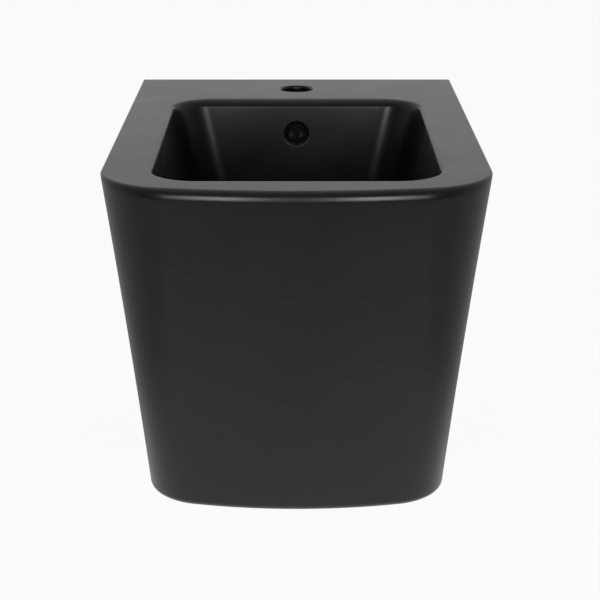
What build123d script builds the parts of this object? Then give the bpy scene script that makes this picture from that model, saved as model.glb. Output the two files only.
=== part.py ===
import os
from math import atan2, cos, radians, sin, sqrt, tan

from build123d import *

os.makedirs("parts", exist_ok=True)

# Frame: the wall is the plane y = 0, the bidet stands out of it towards -Y, +Z is up,
# and the origin is midway between the two wall fixing holes. Sizes are in millimetres.

# Outside of the ceramic
width = 360.0
depth = 530.0
height = 345.0
rim_above_fixing = 80.0
underside_width = 295.4
front_setback = 85.7
taper_hollow = 0.11
corner_radius_top = 77.0
corner_radius_foot = 59.0
front_bow_top = 24.3
front_bow_foot = 23.6
front_top_rounding = 11.0
side_top_rounding = 2.5
foot_rounding = 8.0

# Walls of the ceramic
shell_wall = 10.0
deck_thickness = 16.0
back_plate_thickness = 14.0
foot_flange_width = 42.0
service_corner_radius = 40.0
pipe_arch_width = 130.0
pipe_arch_below_fixing = 72.0
pipe_arch_radius = 25.0

# Bowl
side_rim_width = 46.3
front_rim_width = 53.0
deck_depth = 123.0
bowl_depth = 130.0
bowl_wall = 10.0
bowl_corner_radius = 38.0
bowl_rim_rounding = 12.0
bowl_side_rounding = 4.0
bowl_floor_rounding = 30.0
bowl_side_angle = 13.0
bowl_front_angle = 10.0
bowl_back_angle = 5.0
bowl_floor_fall = 10.0

# Tap hole and overflow
tap_hole_diameter = 35.0
tap_hole_lip = 3.0
tap_hole_from_wall = 56.0
overflow_diameter = 25.0
overflow_lip = 2.0
overflow_below_rim = 37.0
duct_side_room = 2.5
duct_gap = 16.0
duct_behind_wall = 2.0
duct_top_room = 2.0
duct_wall = 8.0
duct_height_at_drain = 16.0
duct_above_boss_end = 11.0

# Drain in the bowl
drain_from_wall = 270.0
drain_recess_depth = 4.0
drain_recess_clearance = 1.5
drain_throat_clearance = 2.05
drain_boss_land = 8.0
drain_boss_length = 42.0
drain_edge_straight = 1.0

# Wall fixings
fixing_spacing = 180.0
lug_diameter = 44.0
lug_length = 30.0
bush_diameter = 23.6
bush_hole_clearance = 0.2
bush_bore = 13.0
bush_flange_width = 5.2
bush_flange_thickness = 3.0
fixing_washer_diameter = 30.0
fixing_washer_thickness = 2.5
nut_across_flats = 19.0
nut_height = 10.8
nut_corner_cut = 0.4
nut_bore = 12.1
cap_wall = 1.5
cap_nut_clearance = 0.3
cap_stud_room = 12.0
cap_end_rounding = 3.0

# Waste fitting
waste_thread_diameter = 41.9
waste_wall = 3.45
waste_length = 75.0
waste_flange_margin = 2.5
waste_flange_thickness = 3.0
waste_flange_rounding = 1.2
waste_seat_chamfer = 2.5
waste_slot_width = 13.0
waste_slot_height = 16.0
waste_slot_below_flange = 14.0
thread_clearance = 0.1
flange_seal_thickness = 1.5
flange_seal_inset = 0.5
seal_clearance = 0.3
gasket_thickness = 6.0
gasket_width = 13.0
gasket_crown_width = 7.0
slip_washer_thickness = 1.5
slip_washer_width = 12.0
lock_nut_wall = 7.0
lock_nut_height = 8.0
lock_nut_corner_cut = 0.8
hub_diameter = 18.0
hub_height = 8.0
hub_web_thickness = 3.0
hub_hole_diameter = 9.0

# Plug that is pressed to close and pressed again to open
plug_travel = 8.0
plug_closed_gap = 0.3
plug_cap_margin = 4.0
plug_cap_edge = 4.0
plug_cap_crown = 2.5
plug_cap_socket_depth = 3.0
plug_seal_margin = 2.0
plug_seal_width = 4.0
plug_seal_height = 4.0
plug_seal_standout = 2.0
plug_seal_rounding = 1.2
sleeve_diameter = 14.0
sleeve_bore = 10.0
sleeve_lip = 2.0
sleeve_floor = 1.5
sleeve_below_flange = 1.0
sleeve_length = 26.0
stem_diameter = 7.0
stem_head_length = 7.0
sliding_clearance = 0.1
spring_wire = 0.9
spring_turns = 7
spring_side_clearance = 0.4

# Bottle trap
trap_wall = 2.0
trap_seal_thickness = 2.0
trap_collar_thickness = 3.0
trap_collar_clearance = 0.3
inlet_nut_wall = 5.0
inlet_nut_grip = 10.0
inlet_nut_lip = 3.0
trap_neck_wall = 3.4
trap_neck_length = 9.0
trap_head_diameter = 60.0
trap_head_margin = 1.2
trap_head_top_rounding = 6.0
water_seal = 50.0
dip_tube_diameter = 28.0
dip_tube_wall = 1.2
dip_tube_flange = 1.0
dip_tube_flange_width = 2.0
cup_below_dip_tube = 16.0
cup_thread_length = 8.0
cup_foot_rounding = 8.0
cup_inner_rounding = 6.0
cup_seal_thickness = 2.0
outlet_pipe_diameter = 32.0
outlet_pipe_wall = 1.5
outlet_pipe_bevel = 0.8
outlet_push_in = 40.0
push_in_mark_width = 3.0
push_in_mark_depth = 0.3
socket_wall = 2.5
socket_length = 28.0
socket_pipe_clearance = 0.3
pipe_insertion = 20.0
outlet_nut_wall = 5.0
outlet_nut_grip = 10.0
outlet_nut_lip = 3.0
outlet_seal_length = 5.0
nut_bevel = 1.0
nut_grooves = 24
nut_groove_width = 3.0
nut_groove_depth = 1.0
nut_groove_start = 4.0

# How far a cutter runs past the face that it cuts, and a joined piece into its neighbour
overrun = 1.0

# Levels and places that follow from the sizes above
rim_z = rim_above_fixing
foot_z = rim_z - height
deck_underside_z = rim_z - deck_thickness
drain_y = -drain_from_wall
tap_y = -tap_hole_from_wall
overflow_z = rim_z - overflow_below_rim
drain_floor_z = rim_z - bowl_depth - bowl_floor_fall
drain_seat_z = drain_floor_z - drain_recess_depth
boss_end_z = drain_seat_z - drain_boss_length
flange_bottom_z = drain_seat_z + flange_seal_thickness
flange_top_z = flange_bottom_z + waste_flange_thickness
waste_end_z = flange_bottom_z - waste_length
waste_radius = waste_thread_diameter / 2
waste_bore = waste_thread_diameter - 2 * waste_wall
drain_throat_diameter = waste_thread_diameter + 2 * drain_throat_clearance
waste_hole_diameter = waste_thread_diameter + 2 * thread_clearance
gasket_diameter = waste_thread_diameter + 2 * gasket_width
gasket_crown_diameter = waste_thread_diameter + 2 * gasket_crown_width
slip_washer_diameter = waste_thread_diameter + 2 * slip_washer_width
drain_boss_diameter = gasket_diameter + 2 * drain_boss_land
lock_nut_across_flats = waste_thread_diameter + 2 * lock_nut_wall
plug_seal_inner_diameter = waste_bore + 2 * (waste_seat_chamfer + plug_seal_margin)
plug_seal_outer_diameter = plug_seal_inner_diameter + 2 * plug_seal_width
plug_cap_diameter = plug_seal_outer_diameter + 2 * plug_cap_margin
waste_flange_diameter = plug_cap_diameter + 2 * waste_flange_margin
sleeve_top_z = flange_top_z - sleeve_below_flange
hub_top_z = sleeve_top_z - sleeve_length
cap_underside_z = flange_top_z + plug_closed_gap + plug_seal_standout + plug_travel
stem_head_top_z = sleeve_top_z - sleeve_lip - sliding_clearance
stem_foot_z = stem_head_top_z - stem_head_length
socket_bore = outlet_pipe_diameter + 2 * socket_pipe_clearance
socket_diameter = socket_bore + 2 * socket_wall
trap_collar_diameter = waste_thread_diameter - 2 * trap_collar_clearance
trap_neck_bore = dip_tube_diameter + 2 * sliding_clearance
trap_neck_diameter = trap_neck_bore + 2 * trap_neck_wall
trap_head_height = socket_diameter + 2 * trap_head_margin
collar_top_z = waste_end_z - trap_seal_thickness
collar_bottom_z = collar_top_z - trap_collar_thickness
head_top_z = collar_bottom_z - trap_neck_length
head_bottom_z = head_top_z - trap_head_height
outlet_z = head_top_z - trap_head_height / 2
outlet_invert_z = outlet_z - outlet_pipe_diameter / 2 + outlet_pipe_wall
dip_tube_end_z = outlet_invert_z - water_seal
cup_bottom_z = dip_tube_end_z - cup_below_dip_tube
cup_seal_top_z = head_bottom_z
cup_top_z = cup_seal_top_z - cup_seal_thickness
socket_end_y = drain_y + trap_head_diameter / 2 + socket_length
pipe_start_y = socket_end_y - pipe_insertion
nut_corner_diameter = nut_across_flats / cos(radians(30)) - 2 * nut_corner_cut


def drum(diameter, bottom, top, x=0.0, y=0.0):
    """Upright cylinder between two levels."""
    shape = Cylinder(diameter / 2, top - bottom, align=(Align.CENTER, Align.CENTER, Align.MIN))
    return Pos(x, y, bottom) * shape


def ring(outer_diameter, inner_diameter, bottom, top, x=0.0, y=0.0):
    """Upright ring between two levels."""
    hole = drum(inner_diameter, bottom - overrun, top + overrun, x, y)
    return drum(outer_diameter, bottom, top, x, y) - hole


def bar(diameter, start_y, end_y, x=0.0, z=0.0):
    """Cylinder along Y, from the end nearer the front to the end nearer the wall."""
    shape = Cylinder(diameter / 2, end_y - start_y, align=(Align.CENTER, Align.CENTER, Align.MAX))
    return Pos(x, start_y, z) * Rot(90, 0, 0) * shape


def collar(outer_diameter, inner_diameter, start_y, end_y, x=0.0, z=0.0):
    """Ring along Y."""
    hole = bar(inner_diameter, start_y - overrun, end_y + overrun, x, z)
    return bar(outer_diameter, start_y, end_y, x, z) - hole


def block(x_range, y_range, z_range):
    """Box between two corners."""
    sizes = [high - low for low, high in (x_range, y_range, z_range)]
    shape = Box(*sizes, align=(Align.MIN, Align.MIN, Align.MIN))
    return Pos(x_range[0], y_range[0], z_range[0]) * shape


def hexagon(across_flats, bottom, top):
    """Upright hexagonal prism on the Z axis."""
    outline = RegularPolygon(across_flats / 2, 6, major_radius=False)
    return Pos(0, 0, bottom) * extrude(outline, amount=top - bottom)


def union_nut(outer_diameter, thread_bore, lip_bore, length, lip):
    """Grooved nut on the Z axis, with its lip at z = 0 and its thread above."""
    nut = drum(outer_diameter, 0, length)
    nut = chamfer(nut.edges().group_by(Axis.Z)[0] + nut.edges().group_by(Axis.Z)[-1], nut_bevel)
    nut -= drum(thread_bore, lip, length + overrun)
    nut -= drum(lip_bore, -overrun, lip + overrun)
    half = nut_groove_width / 2
    radius = outer_diameter / 2
    groove = block(
        (radius - nut_groove_depth, radius + overrun), (-half, half), (nut_groove_start, length + overrun)
    )
    for i in range(nut_grooves):
        nut -= Rot(0, 0, 360 * i / nut_grooves) * groove
    return nut


def rounding_steps(radius, steps=6):
    """Drop and inset of a quarter round, from the flat face down to the wall."""
    angles = [radians(90 * i / steps) for i in range(steps + 1)]
    return [(radius * (1 - cos(a)), radius * (1 - sin(a))) for a in angles]


def inset_at(drop, radius):
    """How far a quarter round stands back at a drop below the flat face."""
    if drop >= radius:
        return 0.0
    return radius - sqrt(radius ** 2 - (radius - drop) ** 2)


def bowed_outline(z, half_width, front_y, corner_radius, bow, back_y):
    """Plan outline with a bowed front, round front corners and straight sides."""
    bow_radius = (half_width ** 2 + bow ** 2) / (2 * bow)
    centre_x = half_width - corner_radius
    rise = sqrt((bow_radius - corner_radius) ** 2 - centre_x ** 2)
    corner_y = front_y + bow_radius - rise
    meet = atan2(centre_x, rise)
    middle = (meet + radians(90)) / 2
    meet_x = bow_radius * sin(meet)
    meet_y = front_y + bow_radius * (1 - cos(meet))
    middle_x = centre_x + corner_radius * sin(middle)
    middle_y = corner_y - corner_radius * cos(middle)
    w = half_width
    return Wire([
        Edge.make_line((-w, back_y, z), (w, back_y, z)),
        Edge.make_line((w, back_y, z), (w, corner_y, z)),
        Edge.make_three_point_arc((w, corner_y, z), (middle_x, middle_y, z), (meet_x, meet_y, z)),
        Edge.make_three_point_arc((meet_x, meet_y, z), (0, front_y, z), (-meet_x, meet_y, z)),
        Edge.make_three_point_arc((-meet_x, meet_y, z), (-middle_x, middle_y, z), (-w, corner_y, z)),
        Edge.make_line((-w, corner_y, z), (-w, back_y, z)),
    ])


def rounded_outline(z, half_width, front_y, back_y, radius):
    """Plan outline of a rectangle with four round corners."""
    w = half_width
    bend = radius * (1 - cos(radians(45)))
    edges = []
    corners = [(w, back_y, -1, -1), (w, front_y, -1, 1), (-w, front_y, 1, 1), (-w, back_y, 1, -1)]
    ends = []
    for x, y, toward_x, toward_y in corners:
        on_side = (x, y + toward_y * radius, z)
        on_end = (x + toward_x * radius, y, z)
        middle = (x + toward_x * bend, y + toward_y * bend, z)
        ends.append((on_side, middle, on_end))
    for index, (on_side, middle, on_end) in enumerate(ends):
        first, last = (on_end, on_side) if index % 2 == 0 else (on_side, on_end)
        following = ends[(index + 1) % 4]
        next_first = following[0] if index % 2 == 0 else following[2]
        edges.append(Edge.make_three_point_arc(first, middle, last))
        edges.append(Edge.make_line(last, next_first))
    return Wire(edges)


def outside_at(z, inset_side, inset_front, back_y):
    """Outline of the outside at a level, moved in by the two insets."""
    drop = (rim_z - z) / height
    taper = drop + taper_hollow * drop * (1 - drop)
    half_width = width / 2 + (underside_width - width) / 2 * taper
    front_y = front_setback * taper - depth
    corner = corner_radius_top + (corner_radius_foot - corner_radius_top) * drop
    bow = front_bow_top + (front_bow_foot - front_bow_top) * drop
    return bowed_outline(
        z, half_width - inset_side, front_y + inset_front, corner - inset_front, bow, back_y
    )


def outer_solid():
    """The outside of the ceramic, with its rounded top and foot edges."""
    outlines = []
    for drop, inset in rounding_steps(front_top_rounding):
        side = inset_at(drop, side_top_rounding)
        outlines.append(outside_at(rim_z - drop, side, inset, 0.0))
    wall_top = rim_z - front_top_rounding
    wall_foot = foot_z + foot_rounding
    levels = 7
    for i in range(1, levels):
        outlines.append(outside_at(wall_top + (wall_foot - wall_top) * i / levels, 0, 0, 0.0))
    for drop, inset in reversed(rounding_steps(foot_rounding, 4)):
        outlines.append(outside_at(foot_z + drop, inset, inset, 0.0))
    return Solid.make_loft(outlines, ruled=True)


def cavity_solid():
    """The hollow between the outer walls, the deck and the back plate."""
    top = deck_underside_z
    bottom = foot_z + shell_wall
    levels = 7
    outlines = []
    for i in range(levels + 1):
        z = top + (bottom - top) * i / levels
        outlines.append(outside_at(z, shell_wall, shell_wall, -back_plate_thickness))
    return Solid.make_loft(outlines, ruled=True)


def bowl_back_y(drop):
    """Where the bowl's rear wall lies at a drop below the rim."""
    return -deck_depth - drop * tan(radians(bowl_back_angle))


def bowl_at(drop, growth, cut_z, side_growth=None):
    """Outline of the bowl at a drop below the rim, grown outwards, and at its sides by its own amount."""
    half_width = width / 2 - side_rim_width - drop * tan(radians(bowl_side_angle))
    front_y = front_rim_width - depth + drop * tan(radians(bowl_front_angle))
    return rounded_outline(
        cut_z,
        half_width + (growth if side_growth is None else side_growth),
        front_y - growth,
        bowl_back_y(drop) + growth,
        bowl_corner_radius + growth,
    )


def bowl_solid(skin):
    """The bowl's hollow, or with a skin thickness the solid that wraps it."""
    outlines = []
    if skin:
        start = deck_thickness / 2
        outlines.append(bowl_at(start, skin, rim_z - start))
    else:
        for drop, growth in rounding_steps(bowl_rim_rounding):
            side = inset_at(drop, bowl_side_rounding)
            outlines.append(bowl_at(drop, growth, rim_z - drop, side))
    foot_drop = bowl_depth - bowl_floor_rounding
    steps = 6
    for i in range(steps + 1):
        angle = radians(90 * i / steps)
        growth = (bowl_floor_rounding + skin) * cos(angle) - bowl_floor_rounding
        drop = foot_drop + (bowl_floor_rounding + skin) * sin(angle)
        outlines.append(bowl_at(min(drop, bowl_depth), growth, rim_z - drop))
    recess = waste_flange_diameter / 2 + drain_recess_clearance
    outlines.append(
        rounded_outline(
            drain_floor_z - skin,
            recess + skin,
            drain_y - recess - skin,
            drain_y + recess + skin,
            recess + skin - drain_edge_straight,
        )
    )
    return Solid.make_loft(outlines, ruled=True)


def duct_box(extra):
    """Overflow duct behind and under the bowl: its hollow, or with extra its outside."""
    front_y = bowl_back_y(overflow_below_rim) + bowl_wall + duct_behind_wall
    half = overflow_diameter / 2 + duct_side_room + extra
    low = boss_end_z + duct_above_boss_end - extra
    top = overflow_z + overflow_diameter / 2 + duct_top_room + extra
    run_top = low + duct_height_at_drain + 2 * extra
    upright = block((-half, half), (front_y - extra, front_y + duct_gap + extra), (low, top))
    run = block((-half, half), (drain_y, front_y + duct_gap + extra), (low, run_top))
    return upright + run


def lipped_hole(diameter, lip, length):
    """Cutter for a hole with a rounded lip: its mouth is the plane z = 0, and it runs down."""
    radius = diameter / 2
    bend_x = radius + lip * (1 - cos(radians(45)))
    bend_z = -lip * (1 - sin(radians(45)))
    outline = Wire([
        Edge.make_line((0, 0, lip), (radius + lip, 0, lip)),
        Edge.make_line((radius + lip, 0, lip), (radius + lip, 0, 0)),
        Edge.make_three_point_arc((radius + lip, 0, 0), (bend_x, 0, bend_z), (radius, 0, -lip)),
        Edge.make_line((radius, 0, -lip), (radius, 0, -length)),
        Edge.make_line((radius, 0, -length), (0, 0, -length)),
        Edge.make_line((0, 0, -length), (0, 0, lip)),
    ])
    return revolve(Face(outline), Axis.Z)


def tap_hole_cut():
    hole = lipped_hole(tap_hole_diameter, tap_hole_lip, deck_thickness + overrun)
    return Pos(0, tap_y, rim_z) * hole


def overflow_cut():
    """Hole square to the bowl's rear wall, into the duct."""
    hole = lipped_hole(overflow_diameter, overflow_lip, bowl_wall + duct_gap / 2)
    mouth_y = bowl_back_y(overflow_below_rim)
    return Pos(0, mouth_y, overflow_z) * Rot(90 - bowl_back_angle, 0, 0) * hole


def service_opening():
    """Opening in the underside, and the arch in the back plate for the pipes."""
    half = underside_width / 2 - foot_flange_width
    front_y = front_setback + foot_flange_width - depth
    outline = rounded_outline(
        foot_z - overrun, half, front_y, -back_plate_thickness, service_corner_radius
    )
    under = extrude(Face(outline), amount=shell_wall + 2 * overrun, dir=(0, 0, 1))
    arch_half = pipe_arch_width / 2
    arch = block(
        (-arch_half, arch_half),
        (-back_plate_thickness - service_corner_radius, overrun),
        (foot_z - overrun, -pipe_arch_below_fixing),
    )
    top_edges = arch.edges().filter_by(Axis.Y).group_by(Axis.Z)[-1]
    arch = fillet(top_edges, pipe_arch_radius)
    return under + arch


def ceramic_body():
    bush_hole = bush_diameter + 2 * bush_hole_clearance
    body = outer_solid() - cavity_solid()
    body += bowl_solid(bowl_wall)
    body += drum(drain_boss_diameter, boss_end_z, drain_floor_z - overrun, 0, drain_y)
    body += duct_box(duct_wall)
    for x in (-fixing_spacing / 2, fixing_spacing / 2):
        body += bar(lug_diameter, -lug_length, -overrun, x)
    body -= bowl_solid(0)
    recess = waste_flange_diameter + 2 * drain_recess_clearance
    body -= drum(recess, drain_seat_z, drain_floor_z + drain_recess_depth, 0, drain_y)
    body -= duct_box(0)
    body -= drum(drain_throat_diameter, boss_end_z - overrun, drain_seat_z + overrun, 0, drain_y)
    body -= overflow_cut()
    body -= tap_hole_cut()
    for x in (-fixing_spacing / 2, fixing_spacing / 2):
        body -= bar(bush_hole, -lug_length - overrun, overrun, x)
    body -= service_opening()
    return body


def waste_body():
    flange = drum(waste_flange_diameter, flange_bottom_z, flange_top_z, 0, drain_y)
    flange = fillet(flange.edges().group_by(Axis.Z)[-1], waste_flange_rounding)
    tube = drum(waste_thread_diameter, waste_end_z, flange_top_z - overrun, 0, drain_y)
    seat = waste_seat_chamfer
    bore = drum(waste_bore, waste_end_z - overrun, flange_top_z + overrun, 0, drain_y)
    funnel = Pos(0, drain_y, flange_top_z - seat / 2) * Cone(waste_bore / 2, waste_bore / 2 + seat, seat)
    body = flange + tube - bore - funnel
    slot_top = flange_bottom_z - waste_slot_below_flange
    slot_levels = (slot_top - waste_slot_height, slot_top)
    half_slot = waste_slot_width / 2
    reach = waste_radius + overrun
    body -= block((-half_slot, half_slot), (drain_y - reach, drain_y + reach), slot_levels)
    body -= block((-reach, reach), (drain_y - half_slot, drain_y + half_slot), slot_levels)
    hub_bottom = hub_top_z - hub_height
    web_align = (Align.CENTER, Align.CENTER, Align.MAX)
    web = Box(waste_bore + overrun, hub_web_thickness, hub_height, align=web_align)
    for angle in (45, 135):
        body += Pos(0, drain_y, hub_top_z) * Rot(0, 0, angle) * web
    body += drum(hub_diameter, hub_bottom, hub_top_z, 0, drain_y)
    return body - drum(hub_hole_diameter, hub_bottom - overrun, hub_top_z + overrun, 0, drain_y)


def waste_flange_seal():
    inner = waste_thread_diameter + 2 * seal_clearance
    outer = waste_flange_diameter - 2 * flange_seal_inset
    return ring(outer, inner, drain_seat_z, flange_bottom_z, 0, drain_y)


def waste_lower_gasket():
    low = boss_end_z - gasket_thickness
    rim = gasket_thickness / 2
    lower = drum(gasket_diameter, low, low + rim, 0, drain_y)
    crown = Cone(gasket_diameter / 2, gasket_crown_diameter / 2, rim)
    upper = Pos(0, drain_y, low + 1.5 * rim) * crown
    hole = drum(waste_hole_diameter, low - overrun, boss_end_z + overrun, 0, drain_y)
    return lower + upper - hole


def waste_slip_washer():
    top = boss_end_z - gasket_thickness
    low = top - slip_washer_thickness
    return ring(slip_washer_diameter, waste_hole_diameter, low, top, 0, drain_y)


def waste_lock_nut():
    top = boss_end_z - gasket_thickness - slip_washer_thickness
    nut = hexagon(lock_nut_across_flats, top - lock_nut_height, top)
    corner_diameter = lock_nut_across_flats / cos(radians(30)) - 2 * lock_nut_corner_cut
    nut = nut & drum(corner_diameter, top - lock_nut_height - overrun, top + overrun)
    hole = drum(waste_hole_diameter, top - lock_nut_height - overrun, top + overrun)
    return Pos(0, drain_y, 0) * (nut - hole)


def click_sleeve():
    body = drum(sleeve_diameter, hub_top_z, sleeve_top_z, 0, drain_y)
    spigot = hub_hole_diameter - 2 * sliding_clearance
    body += drum(spigot, hub_top_z - hub_height, hub_top_z + overrun, 0, drain_y)
    body -= drum(sleeve_bore, hub_top_z + sleeve_floor, sleeve_top_z - sleeve_lip, 0, drain_y)
    stem_hole = stem_diameter + 2 * sliding_clearance
    return body - drum(stem_hole, sleeve_top_z - sleeve_lip - overrun, sleeve_top_z + overrun, 0, drain_y)


def plug_stem():
    shank_top = cap_underside_z + plug_cap_socket_depth
    head = drum(sleeve_bore - 2 * sliding_clearance, stem_foot_z, stem_head_top_z, 0, drain_y)
    return head + drum(stem_diameter, stem_foot_z, shank_top, 0, drain_y)


def plug_spring():
    """Coil between the sleeve's floor and the stem's head, in half turns."""
    radius = sleeve_bore / 2 - spring_side_clearance - spring_wire / 2
    low = hub_top_z + sleeve_floor + spring_wire / 2
    high = stem_foot_z - spring_wire / 2
    halves = 2 * spring_turns

    def on_coil(step):
        angle = radians(180) * step
        z = low + (high - low) * step / halves
        return Vector(radius * cos(angle), drain_y + radius * sin(angle), z)

    arcs = [ThreePointArc(on_coil(i), on_coil(i + 0.5), on_coil(i + 1)) for i in range(halves)]
    path = Wire(arcs)
    section = Plane(origin=on_coil(0), z_dir=path % 0) * Circle(spring_wire / 2)
    coil = sweep(section, path=path)
    print("spring pitch less wire", round((high - low) / spring_turns - spring_wire, 2))
    return coil


def plug_cap():
    edge_top = cap_underside_z + plug_cap_edge
    cap = drum(plug_cap_diameter, cap_underside_z, edge_top, 0, drain_y)
    crown_radius = ((plug_cap_diameter / 2) ** 2 + plug_cap_crown ** 2) / (2 * plug_cap_crown)
    ball = Pos(0, drain_y, edge_top + plug_cap_crown - crown_radius) * Sphere(crown_radius)
    dome = ball & drum(plug_cap_diameter, edge_top - overrun, edge_top + plug_cap_crown + overrun, 0, drain_y)
    cap += dome
    socket_top = cap_underside_z + plug_cap_socket_depth
    cap -= drum(stem_diameter, cap_underside_z - overrun, socket_top, 0, drain_y)
    groove_top = cap_underside_z + plug_seal_height - plug_seal_standout
    groove = ring(
        plug_seal_outer_diameter, plug_seal_inner_diameter, cap_underside_z - overrun, groove_top, 0, drain_y
    )
    return cap - groove


def plug_seal_ring():
    low = cap_underside_z - plug_seal_standout
    seal = ring(
        plug_seal_outer_diameter, plug_seal_inner_diameter, low, low + plug_seal_height, 0, drain_y
    )
    return fillet(seal.edges().group_by(Axis.Z)[0], plug_seal_rounding)


def trap_inlet_seal():
    return ring(trap_collar_diameter, waste_bore, collar_top_z, waste_end_z, 0, drain_y)


def trap_inlet_nut():
    low = collar_bottom_z - inlet_nut_lip
    length = waste_end_z + inlet_nut_grip - low
    outer = waste_hole_diameter + 2 * inlet_nut_wall
    neck = trap_neck_diameter + 2 * thread_clearance
    nut = union_nut(outer, waste_hole_diameter, neck, length, inlet_nut_lip)
    return Pos(0, drain_y, low) * nut


def trap_body():
    """Collar, neck and head of the trap, with the socket for the outlet pipe."""
    body = drum(trap_collar_diameter, collar_bottom_z, collar_top_z, 0, drain_y)
    body += drum(trap_neck_diameter, head_top_z - overrun, collar_bottom_z + overrun, 0, drain_y)
    head = drum(trap_head_diameter, head_bottom_z, head_top_z, 0, drain_y)
    head = fillet(head.edges().group_by(Axis.Z)[-1], trap_head_top_rounding)
    body += head
    body += bar(socket_diameter, drain_y, socket_end_y, 0, outlet_z)
    hollow = trap_head_diameter - 2 * trap_wall
    body -= drum(hollow, head_bottom_z - overrun, head_top_z - trap_wall, 0, drain_y)
    body -= drum(trap_neck_bore, head_top_z - trap_wall - overrun, collar_top_z + overrun, 0, drain_y)
    seat_diameter = trap_neck_bore + 2 * dip_tube_flange_width
    body -= drum(seat_diameter, collar_top_z - dip_tube_flange, collar_top_z + overrun, 0, drain_y)
    body -= bar(socket_bore, pipe_start_y, socket_end_y + overrun, 0, outlet_z)
    stop_bore = outlet_pipe_diameter - 2 * outlet_pipe_wall
    return body - bar(stop_bore, drain_y, pipe_start_y + overrun, 0, outlet_z)


def trap_dip_tube():
    inner = dip_tube_diameter - 2 * dip_tube_wall
    flange_diameter = dip_tube_diameter + 2 * dip_tube_flange_width
    tube = drum(dip_tube_diameter, dip_tube_end_z, collar_top_z, 0, drain_y)
    tube += drum(flange_diameter, collar_top_z - dip_tube_flange, collar_top_z, 0, drain_y)
    return tube - drum(inner, dip_tube_end_z - overrun, collar_top_z + overrun, 0, drain_y)


def trap_cup():
    hollow = trap_head_diameter - 4 * trap_wall
    thread = trap_head_diameter - 2 * trap_wall - 2 * thread_clearance
    cup = drum(trap_head_diameter, cup_bottom_z, cup_top_z, 0, drain_y)
    cup = fillet(cup.edges().group_by(Axis.Z)[0], cup_foot_rounding)
    cup += drum(thread, cup_top_z - overrun, head_bottom_z + cup_thread_length, 0, drain_y)
    floor_z = cup_bottom_z + 2 * trap_wall
    core = drum(hollow, floor_z, head_bottom_z + cup_thread_length + overrun, 0, drain_y)
    return cup - fillet(core.edges().group_by(Axis.Z)[0], cup_inner_rounding)


def trap_cup_seal():
    inner = trap_head_diameter - 2 * trap_wall - 2 * thread_clearance
    return ring(trap_head_diameter, inner, cup_top_z, cup_seal_top_z, 0, drain_y)


def outlet_pipe():
    """Pipe to the wall, with a bevelled end and a groove that marks how far it is pushed in."""
    pipe = bar(outlet_pipe_diameter, pipe_start_y, 0, 0, outlet_z)
    pipe = chamfer(pipe.edges().group_by(Axis.Y)[-1], outlet_pipe_bevel)
    mark_end = -outlet_push_in
    groove_floor = outlet_pipe_diameter - 2 * push_in_mark_depth
    cutter = outlet_pipe_diameter + 2 * overrun
    pipe -= collar(cutter, groove_floor, mark_end - push_in_mark_width, mark_end, 0, outlet_z)
    inner = outlet_pipe_diameter - 2 * outlet_pipe_wall
    return pipe - bar(inner, pipe_start_y - overrun, overrun, 0, outlet_z)


def trap_outlet_seal():
    """Ring on the pipe, squeezed between the socket's mouth and the nut's lip."""
    end_y = socket_end_y + outlet_seal_length
    return collar(socket_diameter, outlet_pipe_diameter, socket_end_y, end_y, 0, outlet_z)


def trap_outlet_nut():
    lip_end_y = socket_end_y + outlet_seal_length + outlet_nut_lip
    length = outlet_nut_grip + outlet_seal_length + outlet_nut_lip
    thread = socket_diameter + 2 * thread_clearance
    outer = thread + 2 * outlet_nut_wall
    nut = union_nut(outer, thread, socket_bore, length, outlet_nut_lip)
    return Pos(0, lip_end_y, outlet_z) * Rot(90, 0, 0) * nut


def both_fixings(shape):
    """The same piece at the left and the right fixing."""
    return Compound([Pos(x, 0, 0) * shape for x in (-fixing_spacing / 2, fixing_spacing / 2)])


def fixing_bushes():
    bush = bar(bush_diameter, -lug_length - overrun, 0)
    bush += bar(bush_diameter + 2 * bush_flange_width, -lug_length - bush_flange_thickness, -lug_length)
    return both_fixings(bush - bar(bush_bore, -lug_length - bush_flange_thickness - overrun, overrun))


def fixing_washers():
    inner_y = -lug_length - bush_flange_thickness
    washer = collar(fixing_washer_diameter, bush_bore, inner_y - fixing_washer_thickness, inner_y)
    return both_fixings(washer)


def fixing_nuts():
    inner_y = -lug_length - bush_flange_thickness - fixing_washer_thickness
    nut = Pos(0, inner_y, 0) * Rot(90, 0, 0) * hexagon(nut_across_flats, 0, nut_height)
    nut = nut & bar(nut_corner_diameter, inner_y - nut_height - overrun, inner_y + overrun)
    return both_fixings(nut - bar(nut_bore, inner_y - nut_height - overrun, inner_y + overrun))


def fixing_nut_caps():
    inner_y = -lug_length - bush_flange_thickness - fixing_washer_thickness
    cavity = nut_corner_diameter + 2 * cap_nut_clearance
    length = nut_height + cap_stud_room
    cap = bar(cavity + 2 * cap_wall, inner_y - length, inner_y)
    cap = fillet(cap.edges().group_by(Axis.Y)[0], cap_end_rounding)
    return both_fixings(cap - bar(cavity, inner_y - length + cap_wall, inner_y + overrun))


for build in (
    ceramic_body,
    waste_body,
    waste_flange_seal,
    waste_lower_gasket,
    waste_slip_washer,
    waste_lock_nut,
    click_sleeve,
    plug_stem,
    plug_spring,
    plug_cap,
    plug_seal_ring,
    trap_inlet_nut,
    trap_inlet_seal,
    trap_body,
    trap_dip_tube,
    trap_cup,
    trap_cup_seal,
    trap_outlet_nut,
    trap_outlet_seal,
    outlet_pipe,
    fixing_bushes,
    fixing_washers,
    fixing_nuts,
    fixing_nut_caps,
):
    export_step(build(), f"parts/{build.__name__}.step")
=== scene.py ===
from math import atan2, cos, pi, radians, sin, sqrt, tan

import bmesh
import bpy
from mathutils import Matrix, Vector
from mathutils.bvhtree import BVHTree


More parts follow.
